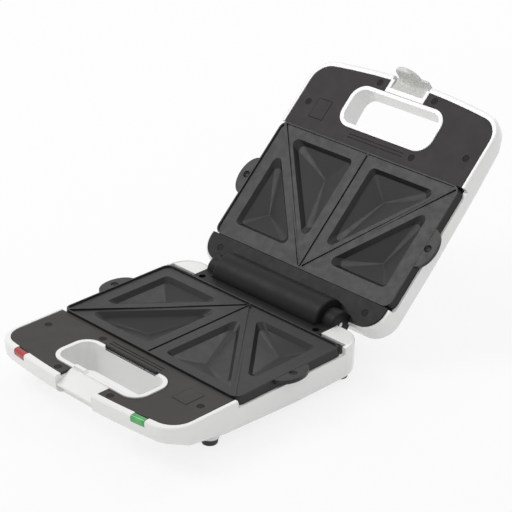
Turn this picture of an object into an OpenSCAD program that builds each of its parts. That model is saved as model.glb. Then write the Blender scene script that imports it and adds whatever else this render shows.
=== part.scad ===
// Sandwich toaster with a hinged lid, drawn open. Two triangular pocket plates face each other.
// Both halves are drawn in the same half frame: x to the right, y towards the hinge,
// z up out of the cooking face, with y = 0 at the plate's front rim and z = 0 at the plate's lip.
// The lid's half is turned over and swung about the hinge.

/* [Cooking plates] */
// Width of each plate over its lip
plate_w = 229; // [222:1:236]
// Depth of each plate from front lip to rear lip
plate_d = 132; // [128:1:138]
// Wall thickness of the cast plates
plate_wall = 3; // [2.4:0.1:3.4]
// Height of the thin lip and the divider ridges above the plate's flats
lip_tall = 1.5; // [1:0.1:2]
// Width of the lip and of the divider ridges
lip_w = 2.4; // [2:0.1:3]
// Depth of a toasting pocket at its centre below the flats
pocket_deep = 11; // [9:0.5:12]
// Depth of a pocket's steep wall
pocket_wall_deep = 5; // [4:0.5:6]
// How far a pocket's steep wall leans in
pocket_lean = 3.2; // [2:0.2:4]
// Flat between the plate's front and the front pockets
front_margin = 12; // [9:0.5:15]
// Flat between the plate's middle and the inner pockets
centre_margin = 12; // [9:0.5:15]
// Flat between the plate's rear or side and the outer pockets
outer_margin = 16; // [12:0.5:18]
// Flat between the diagonal and the pockets beside it
diagonal_margin = 7; // [5:0.5:9]
// Radius of a pocket's corners
pocket_tip = 5; // [3:0.5:7]
// Height of the plate's flared skirt
skirt_tall = 6.5; // [5:0.5:7.5]
// How far the skirt flares outwards
skirt_flare = 2; // [1:0.2:2.4]
// How far a finger tab stands out from the plate's side
tab_reach = 12.5; // [9:0.5:15]
// Length of a finger tab along the plate's side
tab_w = 42; // [32:1:50]
// Thickness of a finger tab
tab_thick = 3; // [2:0.2:4]

/* [Housings] */
// Width of the housing's rim beside the plate and the bezel
side_rim = 4; // [3.5:0.1:5]
// Width of the housing's rim in front of the bezel
front_rim = 6; // [5:0.2:7]
// Distance from the plate's front to the housing's front corners
front_len = 78.7; // [77.5:0.5:82]
// How far the front edge bows forward in the middle
front_bow = 6.1; // [5:0.2:8]
// Distance from the plate's rear to the housing's rear wall
rear_len = 29; // [28:0.5:32]
// Radius of the housing's front corners
front_corner = 25; // [22:1:28]
// Radius of the housing's rear corners
rear_corner = 25; // [22:1:28]
// Radius of the long edges round the housing's bottom
edge_round = 9; // [7:0.5:11]
// Radius of the rim's outer edge
rim_round = 2.4; // [1:0.2:3]
// Draft of the housing's walls over their height
draft = 0.6; // [0.2:0.1:1]
// Wall thickness of the housings
housing_wall = 2.5; // [2:0.1:3]
// Depth of the rim's top below the plate's lip
rim_drop = 1.5; // [1:0.1:2]
// Depth of the lower housing behind its middle
lower_deep = 36.5; // [35:0.5:40]
// Depth of the lower housing below the plate's front
lower_mid = 32.5; // [31:0.5:34.5]
// Depth of the lower housing below the handle opening
lower_front = 26.5; // [25:0.5:28]
// Depth of the lower housing at its nose
lower_nose = 21; // [19.5:0.5:22]
// Depth of the upper housing behind its middle
upper_deep = 31; // [30:0.5:34]
// Depth of the upper housing above the plate's front
upper_mid = 28.5; // [27.5:0.5:30]
// Depth of the upper housing above the handle opening
upper_front = 25.5; // [24.5:0.5:27]
// Depth of the upper housing at its nose
upper_nose = 21; // [20.5:0.5:22]
// Depth to which the side walls are cut down beside the plate
side_cut = 8; // [7.5:0.1:9]
// Height of the feet below the lower housing
foot_tall = 6.5; // [5:0.5:9]
// Radius of a foot
foot_r = 8; // [6:0.5:9]
// Distance of the feet's middles from the housing's sides
foot_in = 18.5; // [16.5:0.5:28]
// Distance of the front feet ahead of the plate's front
front_foot_y = 17; // [10:1:25]
// Distance of the rear feet behind the plate's rear
rear_foot_y = 15; // [8:1:17]

/* [Bezels] */
// Depth of the bezel's face below the plate's lip
bezel_drop = 2; // [1.8:0.1:2.5]
// Thickness of the bezels and covers
bezel_thick = 2.5; // [2:0.1:3]
// Radius of the screw heads
screw_head_r = 3.2; // [2.5:0.1:3.6]
// Radius of the screw shanks
screw_r = 1.5; // [1.2:0.1:1.8]
// Length of the screws
screw_len = 12; // [9:0.5:14]
// Radius of the screw bosses
boss_r = 4; // [3.2:0.1:4.5]

/* [Handle opening] */
// Width of the handle opening
hole_w = 107; // [98:1:112]
// Depth of the handle opening from front to rear
hole_d = 38.5; // [34:0.5:40]
// Distance from the plate's front to the handle opening
hole_back = 21.5; // [20.5:0.5:24]
// Radius of the opening's corners
hole_corner = 12; // [10:0.5:14]
// Width of the collar's lip round the opening
collar_lip = 5; // [4:0.2:5.6]
// Height of the collar's lip above the bezel
collar_proud = 1; // [0.4:0.1:1.5]

/* [Latch] */
// Width of the latch recess
recess_w = 47; // [42:1:52]
// Distance from the plate's front to the latch recess
recess_back = 66; // [65.5:0.5:68]
// Depth of the tongue's front edge below the plate's lip
tongue_drop = 9.5; // [9:0.5:11]
// Thickness of the tongue at its front edge
tongue_thick = 2; // [1.6:0.1:3]
// Distance from the plate's front to the tongue's front edge
tongue_reach = 83; // [82:0.5:84]
// How far the hook reaches under the tongue
hook_reach = 2; // [1.5:0.1:2.2]
// Thickness of the hook and of the clip's arm
clip_thick = 2.2; // [2:0.1:2.8]
// Radius of the latch pin
latch_pin_r = 1.5; // [1.2:0.1:1.8]
// Distance from the plate's front to the latch pin
latch_pin_y = 74; // [73.5:0.5:75]
// Depth of the latch pin below the plate's lip
latch_pin_z = 8; // [7.5:0.5:9]
// Angle that the clip rests away from its latched place
latch_rest = 8; // [7:1:10]

/* [Hinge] */
// Distance of the hinge axis behind the rear walls
hinge_behind = 4.6; // [4.2:0.1:5.2]
// Depth of the hinge axis below the lower plate's lip
hinge_drop = 4; // [3.6:0.1:4.4]
// Angle between the closed lid and the open lid
open_angle = 136.5; // [100:0.5:137]
// Gap between the two plates' lips when the lid is closed
plate_gap = 1; // [0.8:0.1:1.5]
// Radius of the lid's hinge barrel
barrel_r = 20; // [17:0.5:20.5]
// Share of the plate's width that the lid's hinge barrel takes
barrel_share = 0.594; // [0.53:0.002:0.61]
// Wall thickness of the hinge barrel
barrel_wall = 2.5; // [2:0.1:3.5]
// Radius of the base's hinge knuckles
knuckle_r = 13; // [11:0.5:14]
// Width of each hinge knuckle
knuckle_w = 14.5; // [12:0.5:16]
// Radius of the hinge pins
hinge_pin_r = 2.5; // [2:0.1:3.5]
// Depth of the hinge cover below the plate's lip
hinge_cover_deep = 26.8; // [26:0.2:29]

/* [Plate release] */
// Distance of the release button's middle from the plate's side
button_in = 32.5; // [30.5:0.5:36.5]
// Width of the release button
button_w = 18; // [16:0.5:20]
// Depth of the release button from front to rear
button_d = 22; // [18:0.5:24]
// Distance from the plate's front to the release button
button_back = 14; // [13.5:0.5:16]
// Travel of the release button and its catch
release_travel = 3; // [2.5:0.1:3]
// Width of the catch
catch_w = 14; // [12:0.5:14]
// Thickness of the catch
catch_thick = 3.4; // [3:0.1:3.6]
// How far the catch reaches through the plate's skirt
catch_reach = 2.4; // [2:0.1:2.6]

/* [Indicator lamps] */
// Distance of each lamp window's middle from the housing's side
lens_in = 39.5; // [36.5:0.5:44.5]
// Width of a lamp window
lens_w = 15.6; // [12:0.2:18]
// Height of a lamp window below the rim
lens_tall = 6; // [5:0.2:7.5]

/* [Heating] */
// Radius of the heater tubes
heater_r = 3.2; // [2.8:0.1:3.4]
// Distance of the heater's long sides from the plate's sides
heater_in = 32.5; // [26.5:0.5:40.5]
// Radius of the heater's bends
heater_bend = 18; // [14:1:22]
// Height of the heater's centre line below the plate's lip
heater_drop = 19.7; // [19:0.1:20]
// Thickness of the heat shields
tray_thick = 1; // [0.8:0.1:1.2]
// Depth of the lower heat shield's floor below the plate's lip
lower_tray_drop = 26; // [25.5:0.1:27]
// Depth of the upper heat shield's floor below the plate's lip
upper_tray_drop = 25; // [24.6:0.1:26]

/* [Fits] */
// Gap between neighbouring pieces
body_gap = 0.3; // [0.2:0.05:0.5]
// Radial clearance of a pin in its bore
pin_clear = 0.05; // [0.03:0.01:0.08]

/* [Hidden] */
through = 200;
half_plate = plate_w / 2;
half_w = half_plate + side_rim;
foot_x = half_w - foot_in;
barrel_w = plate_w * barrel_share;
button_x = half_plate - button_in;
lens_x = half_w - lens_in;
heater_x = half_plate - heater_in;
front_y = -front_len;
rear_y = plate_d + rear_len;
plane_up = lower_deep + foot_tall;
hinge_y = rear_y + hinge_behind;
hinge_z = -hinge_drop;
lid_hinge_z = plate_gap + hinge_drop;
flat_z = -lip_tall;
bezel_under = -bezel_drop - bezel_thick;
// The pressed button stays clear of the catch
button_proud = 0.3;
catch_drop = bezel_drop + bezel_thick - button_proud + release_travel + body_gap;
lower_deeps = [lower_deep, lower_mid, lower_front, lower_nose];
upper_deeps = [upper_deep, upper_mid, upper_front, upper_nose];
// Where a housing's bottom changes its slope
kink_y = plate_d * 0.57;
tongue_w = recess_w + 2;
mid_y = -10;
handle_y = -50;
hole_front = -hole_back - hole_d;
collar_front = hole_front - collar_lip;
// The bezel ends just ahead of the plate and the covers start just behind it
bezel_rear = -2 * body_gap;
cover_front = plate_d + 2 * body_gap;
cover_rear = rear_y - housing_wall - body_gap;
cover_half = barrel_w / 2 + 2 * body_gap + knuckle_w;
cover_top = 0.5;
cover_under = cover_top - bezel_thick;
// The lower housing's rear corners are closed by a deck
deck_front = plate_d + 6.6;
deck_side = cover_half + body_gap;
cheek = 2;
bezel_screws = [
    [half_plate - 13.5, -28.5], [13.5 - half_plate, -28.5],
    [recess_w / 2 + 11.2, front_y + 7], [-recess_w / 2 - 11.2, front_y + 7],
    [-46, -10.5]];
cover_screws = [[half_plate - 19, plate_d + 13], [19 - half_plate, plate_d + 13]];
hinge_screws = [[cover_half - 8, plate_d + 8], [8 - cover_half, plate_d + 8]];
tray_half = half_plate - 6;
tray_front = 14;
tray_rear = plate_d - 6;
tray_pads = [for (x = [-tray_half + 38, tray_half - 38]) for (y = [tray_front + 12, tray_rear - 20])
    [x, y]];
tray_top = flat_z - pocket_deep - plate_wall - 1;
heater_z = -heater_drop;
heater_front = 26;
heater_rear = plate_d - 24;
heater_leg = 14;
heater_end = tray_rear - 5;
// Leg of the release button, whose sloped face pushes the catch's sloped face
wedge_sum = -button_back - button_d / 2 - 6;
leg_w = 6;
leg_rear = -button_back - 3;
leg_low = -catch_drop - catch_thick - 1;
catch_front = -button_back - button_d - 6;
catch_low = -catch_drop - catch_thick;
// The clip's hook in the lid's half frame, below the lower tongue when the lid is closed
clip_w = recess_w - 3;
hook_z = plate_gap + tongue_drop + tongue_thick + 1;
arch_half = clip_w * 0.375;
arm_in = -tongue_reach - 0.5;
arm_out = arm_in - clip_thick;
recess_floor = lower_nose - housing_wall - 1;
lid_recess_floor = upper_nose - 2.8;
lens_front = front_y - front_bow * (1 - pow(lens_x / (half_w - front_corner), 2));
lens_lean = atan(2 * front_bow * lens_x / pow(half_w, 2));
lens_depth = front_rim - 0.6;
bulb_r = 2.4;
// Cord entry through the left rear corner, which is empty because the photograph shows no cord
gland_z = -17;
gland_r = 4.5;
gland_seat = 0.9;
gland_len = 10;
block_size = [12, 10, 8];
// The origin lies below the middle of the open part
lid_tip_y = hinge_y - cos(open_angle) * (hinge_y - front_y + front_bow)
    + sin(open_angle) * (upper_nose + lid_hinge_z - edge_round) + 1;
middle_y = (front_y - front_bow + lid_tip_y) / 2;

// Places the lower half in the part's own frame, on its feet
module lower_half() {
    translate([0, -middle_y, plane_up]) children();
}

// Turns the lid's half over, closes it on the lower half and swings it open
module upper_half() {
    lower_half()
        translate([0, hinge_y, hinge_z])
            rotate([-open_angle, 0, 0])
                translate([0, -hinge_y, -hinge_z])
                    translate([0, 0, plate_gap])
                        rotate([0, 180, 0])
                            children();
}

// Solid between rings of points that all hold the same number of points, lowest ring first
module loft(rings) {
    count = len(rings[0]);
    last = len(rings) - 1;
    sides = [for (j = [0 : last - 1]) for (i = [0 : count - 1])
        [j * count + i, (j + 1) * count + i,
         (j + 1) * count + (i + 1) % count, j * count + (i + 1) % count]];
    low_cap = [[for (i = [0 : count - 1]) i]];
    high_cap = [[for (i = [count - 1 : -1 : 0]) last * count + i]];
    polyhedron([for (ring = rings) each ring], concat(sides, low_cap, high_cap));
}

// Points of a rounded rectangle at one height
function rectangle_ring(half, front, rear, r, z) = [
    for (corner = [[half - r, front + r, -90], [half - r, rear - r, 0],
                   [r - half, rear - r, 90], [r - half, front + r, 180]])
        for (step = [0 : 4])
            [corner[0] + r * cos(corner[2] + step * 22.5),
             corner[1] + r * sin(corner[2] + step * 22.5), z]];

// Centre of the circle that touches a triangle's three sides
function side_len(p, q) = norm(q - p);
function incentre(t) =
    let (a = side_len(t[1], t[2]), b = side_len(t[2], t[0]), c = side_len(t[0], t[1]))
        (a * t[0] + b * t[1] + c * t[2]) / (a + b + c);
function inradius(t) =
    let (a = side_len(t[1], t[2]), b = side_len(t[2], t[0]), c = side_len(t[0], t[1]),
         u = t[1] - t[0], v = t[2] - t[0])
        abs(u[0] * v[1] - u[1] * v[0]) / (a + b + c);
function heading(v) = atan2(v[1], v[0]);
function turn(a) = a < 0 ? a + 360 : a;

// Points of a triangle with round corners, drawn in by an inset, at one height
function triangle_ring(t, inset, r, z) =
    let (centre = incentre(t), share = (inradius(t) - inset - r) / inradius(t))
        [for (i = [0 : 2])
            let (corner = centre + (t[i] - centre) * share,
                 before = heading(t[i] - t[(i + 2) % 3]) - 90,
                 after = heading(t[(i + 1) % 3] - t[i]) - 90,
                 sweep = turn(after - before))
                for (step = [0 : 4])
                    [corner[0] + r * cos(before + sweep * step / 4),
                     corner[1] + r * sin(before + sweep * step / 4), z]];

// Corners of the two pockets right of the middle, counted round the left-hand way
slope = sqrt(1 / pow(half_plate, 2) + 1 / pow(plate_d, 2));
near_share = 1 - diagonal_margin * slope;
far_share = 1 + diagonal_margin * slope;
inner_pocket = [
    [centre_margin, front_margin],
    [half_plate * (near_share - front_margin / plate_d), front_margin],
    [centre_margin, plate_d * (near_share - centre_margin / half_plate)]];
outer_pocket = [
    [half_plate - outer_margin, plate_d - outer_margin],
    [half_plate * (far_share - 1 + outer_margin / plate_d), plate_d - outer_margin],
    [half_plate - outer_margin, plate_d * (far_share - 1 + outer_margin / half_plate)]];

// Draws its children on the right and mirrored on the left
module both_sides() {
    children();
    mirror([1, 0, 0]) children();
}

// Inside of one pocket, open upwards
module pocket_inside(t) {
    floor_z = flat_z - pocket_wall_deep;
    loft([
        triangle_ring(t, inradius(t) - 0.6, 0.5, flat_z - pocket_deep),
        triangle_ring(t, pocket_lean, pocket_tip, floor_z),
        triangle_ring(t, 0, pocket_tip, flat_z),
        triangle_ring(t, 0, pocket_tip, lip_tall)]);
}

// Outside of one pocket, which bulges from the plate's underside
module pocket_outside(t) {
    floor_z = flat_z - pocket_wall_deep - plate_wall;
    loft([
        triangle_ring(t, inradius(t) - 0.6 - plate_wall, 0.5, flat_z - pocket_deep - plate_wall),
        triangle_ring(t, pocket_lean - plate_wall, pocket_tip, floor_z),
        triangle_ring(t, -plate_wall, pocket_tip, flat_z - plate_wall / 2)]);
}

// Straight bar of a width from one point to another
module bar(from, to, w) {
    translate(from)
        rotate(heading(to - from))
            translate([0, -w / 2])
                square([norm(to - from), w]);
}

// Outline of the plate's top, drawn in by an inset
module plate_outline(inset) {
    translate([0, plate_d / 2])
        offset(r = 8 - inset, $fn = 32)
            square([plate_w - 16, plate_d - 16], center = true);
}

// Cast plate with four triangular pockets, a lip, divider ridges and finger tabs
module cooking_plate() {
    web = plate_wall;
    difference() {
        union() {
            translate([0, 0, flat_z - web])
                linear_extrude(web) plate_outline(0);
            translate([0, 0, flat_z])
                linear_extrude(lip_tall)
                    difference() {
                        plate_outline(0);
                        plate_outline(lip_w);
                    }
            translate([0, 0, flat_z])
                linear_extrude(lip_tall) {
                    bar([0, lip_w / 2], [0, plate_d - lip_w / 2], lip_w);
                    both_sides()
                        bar([lip_w, plate_d - 1.5 * lip_w], [half_plate - 2 * lip_w, lip_w], lip_w);
                }
            difference() {
                skirt(0);
                skirt(plate_wall);
            }
            both_sides() {
                pocket_outside(inner_pocket);
                pocket_outside(outer_pocket);
                finger_tab();
                for (spot = [[heater_x, plate_d / 2], [34, heater_front]])
                    translate([spot[0], spot[1], heater_z + heater_r])
                        cylinder(r = 4, h = flat_z - web / 2 - heater_z - heater_r, $fn = 32);
            }
            translate([button_x - catch_w / 2 - plate_wall, 0, catch_low - plate_wall])
                cube([catch_w + 2 * plate_wall, plate_wall, flat_z - web / 2 - catch_low + plate_wall]);
        }
        both_sides() {
            pocket_inside(inner_pocket);
            pocket_inside(outer_pocket);
        }
        translate([button_x - catch_w / 2 - body_gap, -plate_wall, catch_low - body_gap])
            cube([catch_w + 2 * body_gap, 2 * plate_wall + 0.5, catch_thick + 2 * body_gap]);
    }
}
// Flared skirt round the plate's edge, drawn in by an inset
module skirt(inset) {
    low_z = flat_z - skirt_tall - (inset > 0 ? 1 : 0);
    high_z = flat_z - (inset > 0 ? plate_wall / 2 : 0);
    loft([
        rectangle_ring(half_plate + skirt_flare - inset, inset, plate_d - inset, 8 - inset, low_z),
        rectangle_ring(half_plate - inset, inset, plate_d - inset, 8 - inset, high_z)]);
}

// Half-oval tab that stands out from the plate's right side
module finger_tab() {
    translate([half_plate - 2, plate_d / 2, -1.2 - tab_thick])
        difference() {
            linear_extrude(tab_thick)
                intersection() {
                    scale([(tab_reach + 2) / (tab_w / 2), 1])
                        circle(r = tab_w / 2, $fn = 64);
                    translate([0, -tab_w])
                        square([tab_w, 2 * tab_w]);
                }
            translate([tab_reach * 0.45, 0, tab_thick + 4.6])
                sphere(r = 6, $fn = 32);
        }
}

// Disc with a round lower edge and a round upper edge, one of those that a housing is drawn round
module puck(x, y, r, low_z, high_z, low_round, high_round) {
    translate([x, y, 0])
        rotate_extrude($fn = 36)
            polygon(concat(
                [[0, low_z]],
                [for (a = [0 : 22.5 : 90])
                    [r - draft - low_round * (1 - sin(a)), low_z + low_round * (1 - cos(a))]],
                [for (a = [0 : 30 : 90])
                    [r - high_round * (1 - cos(a)), high_z - high_round * (1 - sin(a))]],
                [[0, high_z]]));
}

// Form of a housing drawn round its corners; inside = 1 gives its cavity
module form(deeps, inside) {
    wall = inside * housing_wall;
    inset = inside * side_rim;
    top = inside * 6 - rim_drop;
    low_round = edge_round - wall;
    high_round = inside > 0 ? 0.1 : rim_round;
    small = low_round + draft;
    front = front_y + inside * front_rim;
    rear = rear_y - wall;
    reach_x = half_w - inset;
    rear_r = rear_corner - inset;
    front_r = front_corner - inset;
    hull() {
        for (side = [-1, 1]) {
            puck(side * (reach_x - rear_r), rear - rear_r, rear_r,
                 wall - deeps[0], top, low_round, high_round);
            puck(side * (reach_x - small), kink_y, small, wall - deeps[0], top, low_round, high_round);
            puck(side * (reach_x - small), mid_y, small, wall - deeps[1], top, low_round, high_round);
            puck(side * (reach_x - small), handle_y, small,
                 wall - deeps[2], top, low_round, high_round);
        }
        for (share = [-1 : 0.25 : 1])
            let (x = share * (reach_x - front_r), swell = front_bow * (1 - pow(share, 2)))
                puck(x, front - swell + front_r, front_r,
                     wall - deeps[3], top, low_round, high_round);
    }
}

// Outline of the handle opening, grown by a margin
module hole_outline(grow) {
    translate([0, (hole_front - hole_back) / 2])
        offset(r = hole_corner + grow, $fn = 48)
            square([hole_w - 2 * hole_corner, hole_d - 2 * hole_corner], center = true);
}

// Sloped tongue that closes the lower recess, and which the clip hooks under
module tongue() {
    translate([-tongue_w / 2, 0, 0])
        rotate([90, 0, 90])
            linear_extrude(tongue_w)
                polygon([
                    [hole_front - collar_lip / 2, -rim_drop],
                    [-recess_back, -rim_drop - 0.8],
                    [-tongue_reach, -tongue_drop],
                    [-tongue_reach, -tongue_drop - tongue_thick],
                    [-tongue_reach + 4, -tongue_drop - tongue_thick],
                    [-recess_back, -tongue_drop + 1],
                    [hole_front - collar_lip / 2, -tongue_drop + 1]]);
}

// Space of the latch recess, with its floor left standing behind the hook's path
module recess_space(floor_drop, front_drop) {
    translate([-recess_w / 2, 0, 0])
        rotate([90, 0, 90])
            linear_extrude(recess_w)
                polygon([
                    [-recess_back, through], [-recess_back, -floor_drop],
                    [-recess_back - 10, -floor_drop], [-recess_back - 10, -front_drop],
                    [-through, -front_drop], [-through, through]]);
}

// Feet stand on flat seats below the sloping bottom
module foot_seats() {
    for (side = [-1, 1])
        for (y = [-front_foot_y, plate_d + rear_foot_y])
            translate([side * foot_x, y, -lower_deep])
                cylinder(r = foot_r + 0.8, h = edge_round, $fn = 32);
}

// What stands inside a housing: collar, bosses, recess cheeks, shield pads and rear ribs
module inner_ribs(is_lower) {
    floor_drop = (is_lower ? lower_tray_drop : upper_tray_drop) + tray_thick;
    translate([0, 0, -through])
        linear_extrude(through - rim_drop)
            hole_outline(housing_wall);
    for (spot = bezel_screws)
        translate([spot[0], spot[1], bezel_under - through])
            cylinder(r = boss_r, h = through, $fn = 32);
    both_sides()
        translate([recess_w / 2, -through, -through])
            cube([3, through + collar_front, through + bezel_under]);
    for (spot = tray_pads)
        translate([spot[0], spot[1], -floor_drop - through])
            cylinder(r = 5, h = through, $fn = 32);
    if (is_lower) {
        both_sides() {
            translate([deck_side, deck_front, bezel_under])
                cube([through, through, bezel_thick]);
            translate([deck_side, deck_front, -through])
                cube([cheek, through, through - bezel_drop]);
        }
        for (spot = hinge_screws)
            translate([spot[0], spot[1], -hinge_cover_deep - through])
                cylinder(r = boss_r + 1, h = through, $fn = 32);
    } else {
        for (spot = cover_screws)
            translate([spot[0], spot[1], cover_under - through])
                cylinder(r = boss_r, h = through, $fn = 32);
    }
}

// Collar's lip, which stands proud of the bezel round the handle opening
module collar() {
    translate([0, 0, bezel_under - 2])
        linear_extrude(collar_proud + bezel_thick + 2)
            difference() {
                hole_outline(collar_lip);
                hole_outline(0);
            }
}

// Shell of either half with everything that the two share
module housing(deeps, is_lower) {
    difference() {
        union() {
            difference() {
                union() {
                    form(deeps, 0);
                    if (is_lower) foot_seats();
                }
                difference() {
                    form(deeps, 1);
                    inner_ribs(is_lower);
                }
                recess_space(is_lower ? recess_floor : lid_recess_floor,
                             is_lower ? through : lid_recess_floor);
            }
            collar();
            if (is_lower) tongue();
        }
        translate([0, 0, -through / 2])
            linear_extrude(through)
                hole_outline(0);
        both_sides()
            translate([half_plate - 1, bezel_rear, flat_z - skirt_tall - body_gap])
                cube([through, plate_d + 6 * body_gap, through]);
        for (spot = bezel_screws)
            translate([spot[0], spot[1], bezel_under - screw_len])
                cylinder(r = screw_r + pin_clear, h = screw_len + 1, $fn = 24);
    }
}

// Moves what it draws to a lamp's place on the front rim, turned along the rim
module at_lamp(side) {
    translate([side * lens_x, lens_front, 0])
        rotate(side * lens_lean)
            children();
}

// Block that a lamp lens fills in the front rim, grown by a gap and open upwards by a rise
module lens_block(side, grow, rise, depth) {
    at_lamp(side)
        translate([-lens_w / 2 - grow, -3, -rim_drop - lens_tall - grow])
            cube([lens_w + 2 * grow, 3 + depth, lens_tall + grow + rise]);
}

// Moves what it draws to the wall of the left rear corner, pointing outwards
module at_gland() {
    translate([rear_corner - half_w, rear_y - rear_corner, gland_z])
        rotate([0, 0, 45])
            translate([0, rear_corner, 0])
                rotate([-90, 0, 0])
                    children();
}

// Lower shell with collar, tongue, bosses, lamp windows, cord entry and hinge cover seat
module lower_housing() {
    color("white")
        lower_half()
            difference() {
                housing(lower_deeps, true);
                for (side = [-1, 1])
                    lens_block(side, body_gap / 2, through, front_rim + 1);
                translate([-deck_side, rear_y - 2 * housing_wall, -hinge_cover_deep - body_gap])
                    cube([2 * deck_side, through, through]);
                for (spot = hinge_screws)
                    translate([spot[0], spot[1], -hinge_cover_deep - screw_len / 2])
                        cylinder(r = screw_r + pin_clear, h = through, $fn = 24);
                at_gland() {
                    translate([0, 0, -2 * side_rim])
                        cylinder(r = gland_r + pin_clear, h = through, $fn = 32);
                    translate([0, 0, -gland_seat])
                        cylinder(r = gland_r + 2 + body_gap, h = through, $fn = 40);
                }
            }
}

// Upper shell, cut out round the hinge barrel, the knuckles and the latch pin
module upper_housing() {
    color("white")
        upper_half()
            difference() {
                housing(upper_deeps, false);
                along_x(lid_hinge_z, barrel_r + body_gap, barrel_w / 2 + body_gap);
                along_x(lid_hinge_z, knuckle_r + 2 * body_gap, cover_half + body_gap);
                translate([0, -latch_pin_y, -latch_pin_z])
                    rotate([0, 90, 0])
                        cylinder(r = latch_pin_r + pin_clear, h = recess_w + 7, center = true, $fn = 24);
                for (spot = cover_screws)
                    translate([spot[0], spot[1], cover_under - screw_len])
                        cylinder(r = screw_r + pin_clear, h = screw_len + 1, $fn = 24);
            }
}

// Cylinder along the hinge axis
module along_x(z, r, half) {
    translate([0, hinge_y, z])
        rotate([0, 90, 0])
            cylinder(r = r, h = 2 * half, center = true, $fn = 72);
}

// Outline of the bezel, set back from the housing's rim
module bezel_outline() {
    inset = body_gap + draft;
    reach_x = half_plate - inset;
    front = front_y + front_rim + inset;
    round_r = front_corner - side_rim - inset;
    inner_x = reach_x - round_r;
    intersection() {
        hull() {
            for (share = [-1 : 0.125 : 1])
                translate([share * inner_x, front + round_r - front_bow * (1 - pow(share, 2))])
                    circle(r = round_r, $fn = 64);
            translate([-reach_x, 0])
                square([2 * reach_x, 1]);
        }
        translate([-through, bezel_rear - through])
            square([2 * through, through]);
    }
}

// Hole for a screw with a sunk head, in a cover whose top is at a height
module screw_hole(spot, top) {
    translate([spot[0], spot[1], top - through / 2]) {
        cylinder(r = screw_r + 2 * pin_clear, h = through, $fn = 24);
        translate([0, 0, through / 2 - 1.4])
            cylinder(r = screw_head_r + body_gap, h = through, $fn = 32);
    }
}

// Dark cover in front of the plate, with the button's window, the catch's rails and two grooves
module bezel() {
    rail_x = catch_w / 2 + body_gap;
    difference() {
        union() {
            translate([0, 0, bezel_under])
                linear_extrude(bezel_thick)
                    difference() {
                        bezel_outline();
                        hole_outline(collar_lip + body_gap);
                        translate([-tongue_w / 2 - body_gap, hole_front - through])
                            square([tongue_w + 2 * body_gap, through]);
                        translate([button_x - button_w / 2, -button_back - button_d])
                            square([button_w, button_d]);
                    }
            for (span = [[body_gap - button_back, bezel_rear - 1],
                         [catch_front - 1, -button_back - button_d - body_gap]])
                translate([button_x, span[0], 0])
                    both_sides()
                        rail(rail_x, span[1] - span[0]);
        }
        for (spot = bezel_screws)
            screw_hole(spot, -bezel_drop);
        for (y = [bezel_rear - 8, bezel_rear - 11.5])
            translate([-hole_w / 3, y, -bezel_drop - 0.8])
                cube([hole_w * 0.65, 1.2, 2]);
    }
}

// Rail with a lip that carries one edge of the catch
module rail(rail_x, run) {
    lip_low = catch_low - body_gap - 1.6;
    translate([rail_x, 0, lip_low])
        cube([2, run, bezel_under - lip_low]);
    translate([rail_x - 1.6, 0, lip_low])
        cube([2, run, 1.6]);
}

// Screws with sunk heads, seated in a cover whose top is at a height
module screws(spots, top) {
    for (spot = spots)
        translate([spot[0], spot[1], top - 1.4]) {
            cylinder(r = screw_head_r, h = 1.2, $fn = 32);
            translate([0, 0, -screw_len + 2])
                cylinder(r = screw_r, h = screw_len - 2, $fn = 24);
        }
}

// Tube bent flat round the pockets, with two cold ends at the rear
module heater() {
    side_run = heater_rear - heater_front - 2 * heater_bend;
    small_bend = 8;
    translate([0, 0, heater_z]) {
        straight([heater_bend - heater_x, heater_front], [heater_x - heater_bend, heater_front]);
        both_sides() {
            straight([heater_x, heater_front + heater_bend], [heater_x, heater_rear - heater_bend]);
            bend([heater_x - heater_bend, heater_front + heater_bend], heater_bend, -90);
            bend([heater_x - heater_bend, heater_rear - heater_bend], heater_bend, 0);
            straight([heater_leg + small_bend, heater_rear], [heater_x - heater_bend, heater_rear]);
            bend([heater_leg + small_bend, heater_rear - small_bend], small_bend, 90);
            straight([heater_leg, heater_rear - small_bend - 14], [heater_leg, heater_rear - small_bend]);
            translate([heater_leg, heater_rear - small_bend - 14, 0])
                rotate([90, 0, 0])
                    cylinder(r = heater_r - 1.4, h = 6, $fn = 24);
        }
    }
}

// Straight stretch of heater tube between two points
module straight(from, to) {
    translate([from[0], from[1], 0])
        rotate([0, 0, heading(to - from)])
            rotate([0, 90, 0])
                cylinder(r = heater_r, h = norm(to - from), $fn = 24);
}

// Quarter bend of heater tube round a centre, from a starting direction
module bend(centre, r, start) {
    translate([centre[0], centre[1], 0])
        rotate([0, 0, start])
            rotate_extrude(angle = 90, $fn = 48)
                translate([r, 0])
                    circle(r = heater_r, $fn = 24);
}

// Sheet metal pan below the heater
module tray(drop) {
    translate([0, 0, -drop - tray_thick])
        linear_extrude(drop + tray_thick + tray_top)
            tray_outline(0);
}
module tray_outline(inset) {
    translate([0, (tray_front + tray_rear) / 2])
        offset(r = 10 - inset, $fn = 32)
            square([2 * tray_half - 20, tray_rear - tray_front - 20], center = true);
}
module heat_shield(drop) {
    difference() {
        tray(drop);
        translate([0, 0, -drop])
            linear_extrude(through)
                tray_outline(tray_thick);
    }
}

// Push button that stands in the bezel's window, with a sloped leg below it
module release_button() {
    top_z = button_proud - bezel_drop;
    low_z = top_z - bezel_thick;
    wide = button_w - 2 * body_gap;
    translate([button_x - wide / 2, body_gap - button_back - button_d, low_z])
        cube([wide, button_d - 2 * body_gap, bezel_thick]);
    translate([button_x - leg_w / 2, 0, 0])
        rotate([90, 0, 90])
            linear_extrude(leg_w)
                polygon([
                    [wedge_sum - low_z, low_z], [wedge_sum - leg_low, leg_low],
                    [leg_rear, leg_low], [leg_rear, low_z + 0.5], [wedge_sum - low_z, low_z + 0.5]]);
}

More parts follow.
